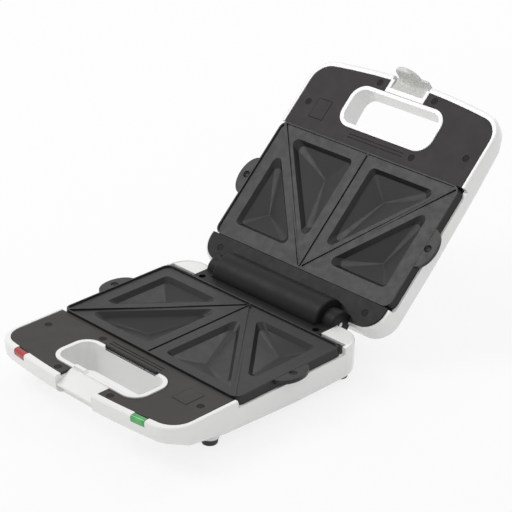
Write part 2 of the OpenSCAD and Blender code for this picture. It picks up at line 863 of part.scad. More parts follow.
// Flat catch that runs under the bezel and reaches through the plate's front lug
module catch() {
    slack = body_gap * sqrt(2);
    difference() {
        translate([button_x - catch_w / 2, catch_front, catch_low])
            cube([catch_w, catch_reach - catch_front, catch_thick]);
        translate([button_x - leg_w / 2 - body_gap, 0, 0])
            rotate([90, 0, 90])
                linear_extrude(leg_w + 2 * body_gap)
                    polygon([
                        [wedge_sum - slack + catch_drop - 1, 1 - catch_drop],
                        [wedge_sum - slack - catch_low + 1, catch_low - 1],
                        [leg_rear + release_travel + body_gap, catch_low - 1],
                        [leg_rear + release_travel + body_gap, 1 - catch_drop]]);
    }
}

// Cover behind the lower plate, hollowed for the lid's barrel, with a knuckle at each end
module hinge_cover() {
    trough_r = barrel_r + 2 * body_gap;
    difference() {
        union() {
            translate([-cover_half, cover_front, -hinge_cover_deep])
                cube([2 * cover_half, rear_y - body_gap - cover_front, hinge_cover_deep - bezel_drop]);
            both_sides()
                translate([cover_half - knuckle_w, hinge_y, hinge_z])
                    rotate([0, 90, 0])
                        cylinder(r = knuckle_r, h = knuckle_w, $fn = 64);
        }
        along_x(hinge_z, trough_r, barrel_w / 2 + 2 * body_gap);
        difference() {
            translate([-barrel_w / 2, cover_front + bezel_thick, -through - bezel_drop - bezel_thick])
                cube([barrel_w, rear_y - cover_front - 2 * bezel_thick, through]);
            along_x(hinge_z, trough_r + bezel_thick, barrel_w);
        }
        along_x(hinge_z, hinge_pin_r + pin_clear, through);
        for (spot = hinge_screws)
            translate([spot[0], spot[1], -hinge_cover_deep - 1]) {
                cylinder(r = screw_r + 2 * pin_clear, h = through, $fn = 24);
                translate([0, 0, 8])
                    cylinder(r = screw_head_r + body_gap, h = through, $fn = 32);
            }
    }
}

// Cover behind the lid's plate, in one piece with the hinge barrel
module barrel_cover() {
    reach_x = half_plate - body_gap;
    corner_r = rear_corner - side_rim - body_gap;
    difference() {
        union() {
            translate([0, 0, cover_under])
                linear_extrude(bezel_thick)
                    intersection() {
                        translate([0, cover_rear / 2])
                            offset(r = corner_r, $fn = 64)
                                square([2 * (reach_x - corner_r), cover_rear - 2 * corner_r],
                                       center = true);
                        translate([-through, cover_front])
                            square([2 * through, through]);
                    }
            along_x(lid_hinge_z, barrel_r, barrel_w / 2);
        }
        along_x(lid_hinge_z, barrel_r - barrel_wall, barrel_w / 2 - barrel_wall);
        along_x(lid_hinge_z, hinge_pin_r + pin_clear, through);
        both_sides()
            translate([barrel_w / 2, hinge_y, lid_hinge_z])
                rotate([0, 90, 0])
                    cylinder(r = knuckle_r + 2 * body_gap, h = knuckle_w + 4 * body_gap, $fn = 72);
        for (spot = cover_screws)
            screw_hole(spot, cover_top);
    }
}

// Clip in its latched place, in the lid's half frame
module clip() {
    barrel_out = latch_pin_r + 1.8;
    difference() {
        union() {
            translate([-clip_w / 2, 0, 0])
                rotate([90, 0, 90])
                    linear_extrude(clip_w) {
                        polygon([
                            [-latch_pin_y + 5.2, -5.4], [-latch_pin_y + 5.2, -3],
                            [arm_in + 1, -3], [arm_in, -1.5], [arm_in, 4], [arm_out, 4],
                            [arm_out, -9], [arm_out - 2, -12.5], [arm_out, -13.8],
                            [arm_in + 2, -8], [arm_in + 3, -5.4]]);
                        translate([-latch_pin_y, -latch_pin_z])
                            circle(r = barrel_out, $fn = 32);
                        translate([-latch_pin_y - 1.6, -latch_pin_z])
                            square([3.2, 4]);
                    }
            intersection() {
                translate([-clip_w / 2, 0, 0])
                    rotate([90, 0, 90])
                        linear_extrude(clip_w)
                            polygon([
                                [arm_in, 4], [arm_in, hook_z], [hook_reach - tongue_reach, hook_z],
                                [hook_reach - tongue_reach, hook_z + clip_thick / 2],
                                [arm_in, hook_z + clip_thick], [arm_out, hook_z + clip_thick],
                                [arm_out, 4]]);
                translate([0, -through / 2, 4])
                    rotate([-90, 0, 0])
                        linear_extrude(through)
                            translate([clip_w / 2 - arch_half, 0])
                                scale([arch_half, hook_z + clip_thick - 4])
                                    circle(r = 1, $fn = 64);
            }
        }
        translate([0, -latch_pin_y, -latch_pin_z])
            rotate([0, 90, 0])
                cylinder(r = latch_pin_r + pin_clear, h = through, center = true, $fn = 24);
    }
}

module lower_bezel() {
    color("dimgray") lower_half() bezel();
}
module upper_bezel() {
    color("dimgray") upper_half() bezel();
}
module lower_plate() {
    color("#2e2e2e") lower_half() cooking_plate();
}
module upper_plate() {
    color("#2e2e2e") upper_half() cooking_plate();
}
module lower_heater() {
    color("gray") lower_half() heater();
}
module upper_heater() {
    color("gray") upper_half() heater();
}
module lower_tray() {
    color("silver") lower_half() heat_shield(lower_tray_drop);
}
module upper_tray() {
    color("silver") upper_half() heat_shield(upper_tray_drop);
}
module lower_hinge_cover() {
    color("#242424") lower_half() hinge_cover();
}
module upper_hinge_cover() {
    color("#242424") upper_half() barrel_cover();
}
module lower_bezel_screws() {
    color("#202020") lower_half() screws(bezel_screws, -bezel_drop);
}
module upper_bezel_screws() {
    color("#202020") upper_half() screws(bezel_screws, -bezel_drop);
}
module upper_cover_screws() {
    color("silver") upper_half() screws(cover_screws, cover_top);
}
module lower_release_button() {
    color("dimgray") lower_half() release_button();
}
module upper_release_button() {
    color("dimgray") upper_half() release_button();
}
module lower_catch() {
    color("#303030") lower_half() catch();
}
module upper_catch() {
    color("#303030") upper_half() catch();
}

// Screws deep in the hinge cover's bores
module hinge_cover_screws() {
    color("silver")
        lower_half()
            for (spot = hinge_screws)
                translate([spot[0], spot[1], 7 - hinge_cover_deep]) {
                    cylinder(r = screw_head_r, h = 2.2, $fn = 32);
                    translate([0, 0, -screw_len])
                        cylinder(r = screw_r, h = screw_len, $fn = 24);
                }
}

// Steel pins that sit in the knuckles and turn in the barrel's ends
module hinge_pins() {
    color("silver")
        lower_half()
            both_sides()
                translate([barrel_w / 2 - barrel_wall - 1, hinge_y, hinge_z])
                    rotate([0, 90, 0])
                        cylinder(r = hinge_pin_r, h = barrel_wall + 1 + knuckle_w, $fn = 32);
}

// Feet below a pair of seats
module feet(y) {
    color("#3a3a3a")
        lower_half()
            both_sides()
                translate([foot_x, y, -plane_up])
                    cylinder(r1 = foot_r - 1, r2 = foot_r, h = foot_tall, $fn = 48);
}
module front_feet() {
    feet(-front_foot_y);
}
module rear_feet() {
    feet(plate_d + rear_foot_y);
}

// Lens that follows the front rim's outline
module lens(side) {
    lower_half()
        intersection() {
            form(lower_deeps, 0);
            lens_block(side, 0, 1, lens_depth);
        }
}
module red_lamp_lens() {
    color("red") lens(-1);
}
module green_lamp_lens() {
    color("limegreen") lens(1);
}

// Small neon bulbs lying behind the lenses
module neon_lamps() {
    color("orange")
        lower_half()
            for (side = [-1, 1])
                at_lamp(side)
                    translate([0, front_rim + draft + body_gap + bulb_r, bezel_under - body_gap - bulb_r])
                        rotate([0, 90, 0])
                            cylinder(r = bulb_r, h = 10, center = true, $fn = 32);
}

// Bimetal thermostat standing on the heat shield below the plate's middle
module thermostat() {
    color("ivory")
        lower_half()
            translate([0, plate_d / 2, -lower_tray_drop]) {
                cylinder(r = 8, h = 5, $fn = 40);
                translate([0, 0, 5])
                    cylinder(r = 6.2, h = 2.6, $fn = 40);
            }
}

// Thermal fuse in its sleeve, lying on the heat shield
module thermal_fuse() {
    color("silver")
        lower_half()
            translate([26, plate_d / 2 - 12, 2.2 - lower_tray_drop])
                rotate([-90, 0, 0]) {
                    cylinder(r = 2.2, h = 24, $fn = 32);
                    translate([0, 0, -4])
                        cylinder(r = 0.8, h = 32, $fn = 24);
                }
}

// Three-way block on the housing's floor below the left rear deck
module terminal_block() {
    color("ivory")
        lower_half()
            translate([-deck_side - cheek - body_gap - block_size[0], cover_front + 1,
                       housing_wall - lower_deep])
                difference() {
                    cube(block_size);
                    for (share = [0.2, 0.5, 0.8])
                        translate([share * block_size[0], block_size[1] / 2, block_size[2] / 2])
                            rotate([-90, 0, 0])
                                cylinder(r = 1.2, h = 2 * block_size[1], center = true, $fn = 24);
                }
}

// Flanged bush in the corner's wall
module cord_gland() {
    color("#202020")
        lower_half()
            at_gland()
                difference() {
                    union() {
                        translate([0, 0, -gland_len])
                            cylinder(r = gland_r, h = gland_len, $fn = 32);
                        translate([0, 0, -gland_seat])
                            cylinder(r1 = gland_r + 2, r2 = gland_r + 1, h = 3, $fn = 40);
                    }
                    translate([0, 0, -through / 2])
                        cylinder(r = gland_r - 1.3, h = through, $fn = 32);
                }
}

// Pin across the lid's recess
module latch_pin() {
    color("silver")
        upper_half()
            translate([0, -latch_pin_y, -latch_pin_z])
                rotate([0, 90, 0])
                    cylinder(r = latch_pin_r, h = recess_w + 6, center = true, $fn = 24);
}

// Clip swung out of its latched place, as it rests with the lid open
module latch_clip() {
    color("whitesmoke", 0.8)
        upper_half()
            translate([0, -latch_pin_y, -latch_pin_z])
                rotate([latch_rest, 0, 0])
                    translate([0, latch_pin_y, latch_pin_z])
                        clip();
}

lower_housing();
lower_bezel();
lower_plate();
lower_heater();
lower_tray();
lower_hinge_cover();
hinge_pins();
lower_bezel_screws();
hinge_cover_screws();
front_feet();
rear_feet();
red_lamp_lens();
green_lamp_lens();
neon_lamps();
thermostat();
thermal_fuse();
terminal_block();
cord_gland();
lower_release_button();
lower_catch();
upper_housing();
upper_bezel();
upper_plate();
upper_heater();
upper_tray();
upper_hinge_cover();
upper_bezel_screws();
upper_cover_screws();
latch_pin();
upper_release_button();
upper_catch();
latch_clip();
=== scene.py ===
import math

import bmesh
import bpy
from mathutils import Matrix, Vector


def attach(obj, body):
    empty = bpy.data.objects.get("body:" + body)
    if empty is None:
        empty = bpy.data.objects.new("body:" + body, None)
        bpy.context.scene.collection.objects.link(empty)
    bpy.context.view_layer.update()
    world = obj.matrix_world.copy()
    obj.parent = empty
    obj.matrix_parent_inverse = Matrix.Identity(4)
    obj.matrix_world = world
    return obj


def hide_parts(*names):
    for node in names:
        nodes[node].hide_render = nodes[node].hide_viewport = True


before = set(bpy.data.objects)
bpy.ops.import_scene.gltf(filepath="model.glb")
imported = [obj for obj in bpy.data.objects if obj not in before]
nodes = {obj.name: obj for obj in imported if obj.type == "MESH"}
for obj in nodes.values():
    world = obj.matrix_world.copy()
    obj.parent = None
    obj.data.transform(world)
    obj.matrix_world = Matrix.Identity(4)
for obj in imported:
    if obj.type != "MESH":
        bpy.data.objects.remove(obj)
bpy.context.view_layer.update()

# Both halves are shaped in the same half frame, in millimetres: x right, y towards the hinge,
# z up out of the cooking face, with the plate's front lip at y 0, z 0
halfFrame = {
    "middleY": 137.568,
    "planeUp": 43.0,
    "hingeY": 165.6,
    "hingeZ": -4.0,
    "plateGap": 1.0,
    "openAngle": 136.5,
}

place = Matrix.Translation
lowerHalf = Matrix.Scale(0.001, 4) @ place((0, -halfFrame["middleY"], halfFrame["planeUp"]))
upperHalf = (
    lowerHalf
    @ place((0, halfFrame["hingeY"], halfFrame["hingeZ"]))
    @ Matrix.Rotation(math.radians(-halfFrame["openAngle"]), 4, "X")
    @ place((0, -halfFrame["hingeY"], -halfFrame["hingeZ"]))
    @ place((0, 0, halfFrame["plateGap"]))
    @ Matrix.Rotation(math.pi, 4, "Y")
)
halves = (("lower", "base", lowerHalf), ("upper", "lid", upperHalf))


# Materials: each has a cloudy colour, patchy gloss and a fine grain

def socket(shader, name, value):
    shader.inputs[name].default_value = value


def noise(tree, coords, scale, detail):
    node = tree.nodes.new("ShaderNodeTexNoise")
    node.inputs["Scale"].default_value = scale
    node.inputs["Detail"].default_value = detail
    tree.links.new(coords.outputs["Object"], node.inputs["Vector"])
    return node


# Spread the middle of a noise, from start to end, over low to high
def ramp(tree, source, low, high, start, end):
    node = tree.nodes.new("ShaderNodeMapRange")
    node.inputs["From Min"].default_value = start
    node.inputs["From Max"].default_value = end
    node.inputs["To Min"].default_value = low
    node.inputs["To Max"].default_value = high
    tree.links.new(source, node.inputs["Value"])
    return node


noiseLook = {"cloudDetail": 2.0, "cloudFrom": 0.3, "cloudTo": 0.7,
             "glossDetail": 4.0, "glossFrom": 0.35, "glossTo": 0.65, "grainDetail": 2.0}


def finish(name, look):
    material = bpy.data.materials.new(name)
    material.use_nodes = True
    tree = material.node_tree
    shader = tree.nodes["Principled BSDF"]
    coords = tree.nodes.new("ShaderNodeTexCoord")
    cloud = noise(tree, coords, look["cloudScale"], noiseLook["cloudDetail"])
    mix = tree.nodes.new("ShaderNodeMix")
    mix.data_type = "RGBA"
    mix.inputs["A"].default_value = (*look["color"], 1)
    mix.inputs["B"].default_value = (*look["second"], 1)
    share = ramp(tree, cloud.outputs["Fac"], 0.0, 1.0, noiseLook["cloudFrom"], noiseLook["cloudTo"])
    tree.links.new(share.outputs["Result"], mix.inputs["Factor"])
    tree.links.new(mix.outputs["Result"], shader.inputs["Base Color"])
    patches = noise(tree, coords, look["glossScale"], noiseLook["glossDetail"])
    gloss = ramp(tree, patches.outputs["Fac"], look["rough"][0], look["rough"][1],
                 noiseLook["glossFrom"], noiseLook["glossTo"])
    tree.links.new(gloss.outputs["Result"], shader.inputs["Roughness"])
    grain = noise(tree, coords, look["grainScale"], look.get("grainDetail", noiseLook["grainDetail"]))
    bump = tree.nodes.new("ShaderNodeBump")
    bump.inputs["Strength"].default_value = look["grainStrength"]
    bump.inputs["Distance"].default_value = look["grainDepth"]
    tree.links.new(grain.outputs["Fac"], bump.inputs["Height"])
    tree.links.new(bump.outputs["Normal"], shader.inputs["Normal"])
    for key, value in look.get("sockets", {}).items():
        socket(shader, key, value)
    return material


whiteShell = finish("glossyWhiteShell", {
    "color": (0.83, 0.83, 0.82), "second": (0.80, 0.80, 0.79), "cloudScale": 14,
    "rough": (0.16, 0.24), "glossScale": 60,
    "grainScale": 420, "grainStrength": 0.05, "grainDepth": 0.0003,
    "sockets": {"Coat Weight": 0.3, "Coat Roughness": 0.08, "IOR": 1.5},
})
bezelPlastic = finish("satinDarkBezel", {
    "color": (0.043, 0.041, 0.038), "second": (0.039, 0.037, 0.034), "cloudScale": 22,
    "rough": (0.46, 0.52), "glossScale": 90,
    "grainScale": 1500, "grainStrength": 0.16, "grainDepth": 0.0002, "grainDetail": 4.0,
    "sockets": {"Specular IOR Level": 0.18},
})
# Painted shade: the lid's bezel and button are the same plastic as the lower bezel, given a darker
# colour and weaker gloss
shadedLidBezelPlastic = finish("satinDarkLidBezelPaintedShade", {
    "color": (0.034, 0.031, 0.030), "second": (0.030, 0.028, 0.027), "cloudScale": 22,
    "rough": (0.46, 0.52), "glossScale": 90,
    "grainScale": 1500, "grainStrength": 0.16, "grainDepth": 0.0002, "grainDetail": 4.0,
    "sockets": {"Specular IOR Level": 0.16},
})
coatedPlate = finish("nonStickCoating", {
    "color": (0.0170, 0.0170, 0.0168), "second": (0.0145, 0.0145, 0.0143), "cloudScale": 30,
    "rough": (0.34, 0.42), "glossScale": 120,
    "grainScale": 900, "grainStrength": 0.14, "grainDepth": 0.0002, "grainDetail": 5.0,
    "sockets": {"Specular IOR Level": 0.30},
})
hingePlastic = finish("blackHingePlastic", {
    "color": (0.0125, 0.0118, 0.0115), "second": (0.0105, 0.0100, 0.0098), "cloudScale": 25,
    "rough": (0.40, 0.48), "glossScale": 110,
    "grainScale": 1300, "grainStrength": 0.16, "grainDepth": 0.0002, "grainDetail": 4.0,
    "sockets": {"Specular IOR Level": 0.16},
})
heaterSteel = finish("heatTintedTube", {
    "color": (0.26, 0.24, 0.22), "second": (0.17, 0.15, 0.13), "cloudScale": 60,
    "rough": (0.35, 0.5), "glossScale": 200,
    "grainScale": 1200, "grainStrength": 0.2, "grainDepth": 0.0002,
    "sockets": {"Metallic": 1.0},
})
shieldSteel = finish("pressedShield", {
    "color": (0.60, 0.60, 0.59), "second": (0.52, 0.52, 0.51), "cloudScale": 35,
    "rough": (0.28, 0.42), "glossScale": 120,
    "grainScale": 800, "grainStrength": 0.15, "grainDepth": 0.0002,
    "sockets": {"Metallic": 1.0},
})
brightSteel = finish("brightScrewSteel", {
    "color": (0.66, 0.65, 0.62), "second": (0.55, 0.54, 0.51), "cloudScale": 300,
    "rough": (0.22, 0.34), "glossScale": 900,
    "grainScale": 2600, "grainStrength": 0.2, "grainDepth": 0.0001,
    "sockets": {"Metallic": 1.0},
})
blackSteel = finish("blackScrewSteel", {
    "color": (0.012, 0.012, 0.012), "second": (0.008, 0.008, 0.008), "cloudScale": 300,
    "rough": (0.5, 0.6), "glossScale": 900,
    "grainScale": 2600, "grainStrength": 0.25, "grainDepth": 0.0001,
    "sockets": {"Specular IOR Level": 0.15},
})
footRubber = finish("footRubber", {
    "color": (0.045, 0.045, 0.046), "second": (0.034, 0.034, 0.035), "cloudScale": 90,
    "rough": (0.7, 0.85), "glossScale": 300,
    "grainScale": 1600, "grainStrength": 0.4, "grainDepth": 0.0003,
})
# Both lens colours carry a painted glow: a faint emission of their own, while the neon bulbs behind
# them are not lit
redLensPaintedGlow = finish("redLampLensPaintedGlow", {
    "color": (0.36, 0.016, 0.012), "second": (0.22, 0.010, 0.008), "cloudScale": 160,
    "rough": (0.12, 0.2), "glossScale": 300,
    "grainScale": 700, "grainStrength": 0.1, "grainDepth": 0.0002,
    "sockets": {"IOR": 1.49, "Coat Weight": 0.3,
                "Emission Color": (0.5, 0.02, 0.015, 1), "Emission Strength": 0.12},
})
greenLensPaintedGlow = finish("greenLampLensPaintedGlow", {
    "color": (0.050, 0.36, 0.085), "second": (0.020, 0.20, 0.040), "cloudScale": 160,
    "rough": (0.12, 0.2), "glossScale": 300,
    "grainScale": 700, "grainStrength": 0.1, "grainDepth": 0.0002,
    "sockets": {"IOR": 1.49, "Coat Weight": 0.3,
                "Emission Color": (0.12, 0.55, 0.16, 1), "Emission Strength": 0.14},
})
bulbGlass = finish("neonBulbGlass", {
    "color": (0.85, 0.55, 0.40), "second": (0.80, 0.45, 0.30), "cloudScale": 300,
    "rough": (0.05, 0.1), "glossScale": 300,
    "grainScale": 600, "grainStrength": 0.05, "grainDepth": 0.0001,
    "sockets": {"Transmission Weight": 0.7},
})
ceramic = finish("ivoryCeramic", {
    "color": (0.72, 0.68, 0.58), "second": (0.66, 0.62, 0.52), "cloudScale": 120,
    "rough": (0.45, 0.6), "glossScale": 300,
    "grainScale": 1500, "grainStrength": 0.25, "grainDepth": 0.0002,
})
clipPlastic = finish("milkyClipPlastic", {
    "color": (0.80, 0.81, 0.78), "second": (0.74, 0.75, 0.72), "cloudScale": 70,
    "rough": (0.20, 0.30), "glossScale": 200,
    "grainScale": 600, "grainStrength": 0.1, "grainDepth": 0.0003,
    "sockets": {"Transmission Weight": 0.25, "IOR": 1.49},
})
print("materials made")


# Shaping

matchLook = {"doubles": 0.000002, "flatAngle": 0.6, "ring": 0.06, "rim": 0.15}


def copyOf(nodeName):
    bm = bmesh.new()
    bm.from_mesh(nodes[nodeName].data)
    bmesh.ops.remove_doubles(bm, verts=bm.verts, dist=matchLook["doubles"])
    bmesh.ops.dissolve_limit(bm, angle_limit=math.radians(matchLook["flatAngle"]),
                             verts=bm.verts, edges=bm.edges)
    return bm


# Bevel every edge that turns by more than an angle in degrees
def soften(bm, width, fromAngle=28):
    edges = [
        e for e in bm.edges
        if e.is_manifold and e.calc_face_angle(0) > math.radians(fromAngle)
    ]
    bmesh.ops.bevel(bm, geom=edges, offset=width, offset_type="OFFSET", segments=2,
                    profile=0.5, affect="EDGES", clamp_overlap=True, material=-1)


def toHalf(bm, half):
    bmesh.ops.transform(bm, matrix=half.inverted(), verts=bm.verts)


def fromHalf(bm, half):
    bmesh.ops.transform(bm, matrix=half, verts=bm.verts)


# Box between two corners in the half frame, with its edges softened
def block(bm, low, high, edge):
    made = bmesh.ops.create_cube(bm, size=1.0)["verts"]
    for v in made:
        v.co = Vector([(low[i] + high[i]) / 2 + v.co[i] * (high[i] - low[i]) for i in range(3)])
    edges = [e for e in bm.edges if e.verts[0] in made and e.verts[1] in made]
    made = bmesh.ops.bevel(bm, geom=edges, offset=edge, offset_type="OFFSET", segments=2,
                           profile=0.5, affect="EDGES", clamp_overlap=True, material=-1)
    return made["verts"]


sharpAngle = 40.0


def piece(name, bm, body, material, stands=()):
    mesh = bpy.data.meshes.new(name)
    bm.to_mesh(mesh)
    bm.free()
    for face in mesh.polygons:
        face.use_smooth = True
    mesh.set_sharp_from_angle(angle=math.radians(sharpAngle))
    obj = bpy.data.objects.new(name, mesh)
    bpy.context.scene.collection.objects.link(obj)
    mesh.materials.append(material)
    normals = obj.modifiers.new("evenNormals", "WEIGHTED_NORMAL")
    normals.keep_sharp = True
    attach(obj, body)
    if stands:
        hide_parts(*stands)
    return obj


# Housings with softened edges and a narrower collar lip

housingLook = {"edge": 0.4, "holeHalf": (53.5, 19.25), "holeMiddleY": -40.75, "holeCorner": 12.0,
               "cadLip": 5.0, "lip": 4.2, "ringAbove": -7.0}


# Distance of a point from the handle opening's edge, and the way out from it
def offHole(co, look):
    core = [h - look["holeCorner"] for h in look["holeHalf"]]
    dx = co.x - max(-core[0], min(core[0], co.x))
    y = co.y - look["holeMiddleY"]
    dy = y - max(-core[1], min(core[1], y))
    reach = math.hypot(dx, dy)
    if reach < matchLook["doubles"]:
        return -look["holeCorner"], Vector((0, 0, 0))
    return reach - look["holeCorner"], Vector((dx / reach, dy / reach, 0))


# Move the points that lie at one distance from the opening to another distance
def moveRing(bm, look, fromReach, toReach, lowZ):
    for v in bm.verts:
        reach, way = offHole(v.co, look)
        if abs(reach - fromReach) < matchLook["ring"] and v.co.z > lowZ:
            v.co += way * (toReach - fromReach)


for half, body, spot in halves:
    shell = copyOf(half + "_housing")
    toHalf(shell, spot)
    moveRing(shell, housingLook, housingLook["cadLip"], housingLook["lip"],
             housingLook["ringAbove"])
    soften(shell, housingLook["edge"])
    fromHalf(shell, spot)
    piece(half + "Shell", shell, body, whiteShell, [half + "_housing"])

# Low hump on the collar's front, its right end slanted
humpLook = {"low": (-23.0, -64.0, -2.2), "high": (-5.0, -60.0, 1.2), "slant": 3.5, "edge": 0.6}
humpMiddle = (humpLook["low"][0] + humpLook["high"][0]) / 2
hump = bmesh.new()
for v in block(hump, humpLook["low"], humpLook["high"], humpLook["edge"]):
    if v.co.z > 0 and v.co.x > humpMiddle:
        v.co.x -= humpLook["slant"]
fromHalf(hump, lowerHalf)
piece("collarHump", hump, "base", whiteShell)

# White band and strips that frame the clip in the lid's recess
surroundLook = {"halfW": 24.4, "stripW": 4.2, "rear": -64.8, "bandD": 5.4, "front": -79.6,
                "low": -7.0, "top": -1.5, "lap": 0.5, "sink": 0.02, "edge": 0.5}
surround = bmesh.new()
band = surroundLook
bandFront = band["rear"] - band["bandD"]
block(surround, (-band["halfW"], bandFront, band["low"]),
      (band["halfW"], band["rear"], band["top"]), band["edge"])
for side in (-1, 1):
    inner = side * (band["halfW"] - band["stripW"])
    outer = side * band["halfW"]
    block(surround, (min(inner, outer), band["front"], band["low"]),
          (max(inner, outer), bandFront + band["lap"], band["top"] - band["sink"]), band["edge"])
fromHalf(surround, upperHalf)
piece("lidLatchSurround", surround, "lid", whiteShell)
print("housings made")


# Bezels, the ledge along the lower opening, and the hinge covers

bezelLook = {"edge": 0.3, "lipGap": 0.3, "ringAbove": -6.0}
for half, body, spot in halves:
    paint = bezelPlastic if half == "lower" else shadedLidBezelPlastic
    cover = copyOf(half + "_bezel")
    toHalf(cover, spot)
    moveRing(cover, housingLook, housingLook["cadLip"] + bezelLook["lipGap"],
             housingLook["lip"] + bezelLook["lipGap"], bezelLook["ringAbove"])
    soften(cover, bezelLook["edge"])
    fromHalf(cover, spot)
    piece(half + "BezelCover", cover, body, paint, [half + "_bezel"])

# A low strip that covers the collar's rear lip, and a bar along its front; both end slanted
ledgeLook = {"left": -30.0, "right": 37.0, "front": -21.5, "barRear": -18.7, "rear": -16.7,
             "low": -3.0, "flat": -0.8, "top": 1.5, "slant": 4.0, "barSlant": 0.6,
             "flatEdge": 0.25, "barEdge": 0.35}
ledge = bmesh.new()
bar = ledgeLook
for rear, top, edge, slant in ((bar["rear"], bar["flat"], bar["flatEdge"], bar["slant"]),
                               (bar["barRear"], bar["top"], bar["barEdge"],
                                bar["slant"] * bar["barSlant"])):
    strip = block(ledge, (bar["left"], bar["front"], bar["low"]), (bar["right"], rear, top), edge)
    for v in strip:
        if v.co.x < 0 and v.co.y > (bar["front"] + rear) / 2:
            v.co.x -= slant
fromHalf(ledge, lowerHalf)
piece("collarLedge", ledge, "base", hingePlastic)

coverLook = {"edge": 0.5, "barrelEnd": 68.0, "barrelR": 20.0, "endRound": 3.5, "knuckleEnd": 83.1,
             "knuckleR": 13.0, "knuckleRound": 2.0, "fromAngle": 50, "rimTurn": 1.0}


# Round the rim at both ends of a cylinder that lies along the hinge
def roundRim(bm, axisZ, endX, radius, width):
    edges = []
    for e in bm.edges:
        on = all(
            abs(abs(v.co.x) - endX) < matchLook["rim"]
            and abs(math.hypot(v.co.y - halfFrame["hingeY"], v.co.z - axisZ) - radius)
            < matchLook["rim"]
            for v in e.verts
        )
        if on and e.is_manifold and e.calc_face_angle(0) > coverLook["rimTurn"]:
            edges.append(e)
    if edges:
        bmesh.ops.bevel(bm, geom=edges, offset=width, offset_type="OFFSET", segments=4,
                        profile=0.5, affect="EDGES", clamp_overlap=True, material=-1)


for half, body, spot in halves:
    cover = copyOf(half + "_hinge_cover")
    toHalf(cover, spot)
    if half == "upper":
        roundRim(cover, halfFrame["plateGap"] - halfFrame["hingeZ"], coverLook["barrelEnd"],
                 coverLook["barrelR"], coverLook["endRound"])
    else:
        roundRim(cover, halfFrame["hingeZ"], coverLook["knuckleEnd"], coverLook["knuckleR"],
                 coverLook["knuckleRound"])
    soften(cover, coverLook["edge"], coverLook["fromAngle"])
    fromHalf(cover, spot)
    piece(half + "HingeCover", cover, body, hingePlastic, [half + "_hinge_cover"])
print("covers made")


# Plates: a thinner lip, grooves where the dividers run, and tabs raised almost to the lip

plateLook = {"halfW": 114.5, "depth": 132.0, "corner": 8.0, "cadLip": 2.4, "lip": 1.4,
             "clear": 0.5, "groove": -2.7, "tabTop": -1.2, "tabUp": 1.0, "edge": 0.45,
             "fromAngle": 12, "near": 0.05, "ridgeAbove": -0.1, "lipAbove": -1.7, "cut": 0.0001}


# Distance of a point inside the plate's outline from that outline, and the way out to it
def offPlate(co, look):
    coreX = look["halfW"] - look["corner"]
    coreY = look["depth"] / 2 - look["corner"]
    y = co.y - look["depth"] / 2
    if abs(co.x) > coreX and abs(y) > coreY:
        way = Vector((co.x - math.copysign(coreX, co.x), y - math.copysign(coreY, y), 0))
        return look["corner"] - way.length, way.normalized()
    if look["halfW"] - abs(co.x) < look["depth"] / 2 - abs(y):
        return look["halfW"] - abs(co.x), Vector((math.copysign(1, co.x), 0, 0))
    return look["depth"] / 2 - abs(y), Vector((0, math.copysign(1, y), 0))


for half, body, spot in halves:
    plate = copyOf(half + "_plate")
    toHalf(plate, spot)
    look = plateLook
    inset = look["cadLip"] + look["clear"]
    # cut the dividers free of the lip, so that their tops can sink and the lip's can't
    for at, way in (((look["halfW"] - inset, 0, 0), (1, 0, 0)),
                    ((inset - look["halfW"], 0, 0), (1, 0, 0)),
                    ((0, inset, 0), (0, 1, 0)),
                    ((0, look["depth"] - inset, 0), (0, 1, 0))):
        every = list(plate.verts) + list(plate.edges) + list(plate.faces)
        bmesh.ops.bisect_plane(plate, geom=every, dist=look["cut"], plane_co=at, plane_no=way)
    for v in plate.verts:
        reach, way = offPlate(v.co, look)
        if v.co.z > look["ridgeAbove"] and reach > inset - look["near"]:
            v.co.z = look["groove"]
        elif abs(reach - look["cadLip"]) < matchLook["ring"] and v.co.z > look["lipAbove"]:
            v.co += way * (look["cadLip"] - look["lip"])
        elif (abs(v.co.x) > look["halfW"] - look["near"]
              and abs(v.co.z - look["tabTop"]) < matchLook["ring"]):
            v.co.z += look["tabUp"]
    soften(plate, look["edge"], look["fromAngle"])
    fromHalf(plate, spot)
    piece(half + "Plate", plate, body, coatedPlate, [half + "_plate"])
print("plates made")


# Buttons, lenses, feet, bush and clip, each with its edge width in metres

clipNarrow = 0.9
smallPieces = [
    ("latchClip", "latch_clip", "latch", clipPlastic, "clip_plastic", 0.0003),
    ("lowerButton", "lower_release_button", "lower_button", bezelPlastic, "bezel_plastic", 0.0004),
    ("upperButton", "upper_release_button", "upper_button", shadedLidBezelPlastic, "bezel_plastic", 0.0004),
    ("redLampWindow", "red_lamp_lens", "base", redLensPaintedGlow, "red_lens", 0.0005),
    ("greenLampWindow", "green_lamp_lens", "base", greenLensPaintedGlow, "green_lens", 0.0005),
    ("frontFeet", "front_feet", "base", footRubber, "foot_rubber", 0.0008),
    ("rearFeet", "rear_feet", "base", footRubber, "foot_rubber", 0.0008),
    ("cordBush", "cord_gland", "base", hingePlastic, "hinge_plastic", 0.0004),
]
for name, node, body, material, slotName, edge in smallPieces:
    bm = copyOf(node)
    if node == "latch_clip":
        bmesh.ops.scale(bm, vec=(clipNarrow, 1, 1), verts=bm.verts)
    soften(bm, edge)
    piece(name, bm, body, material, [node])

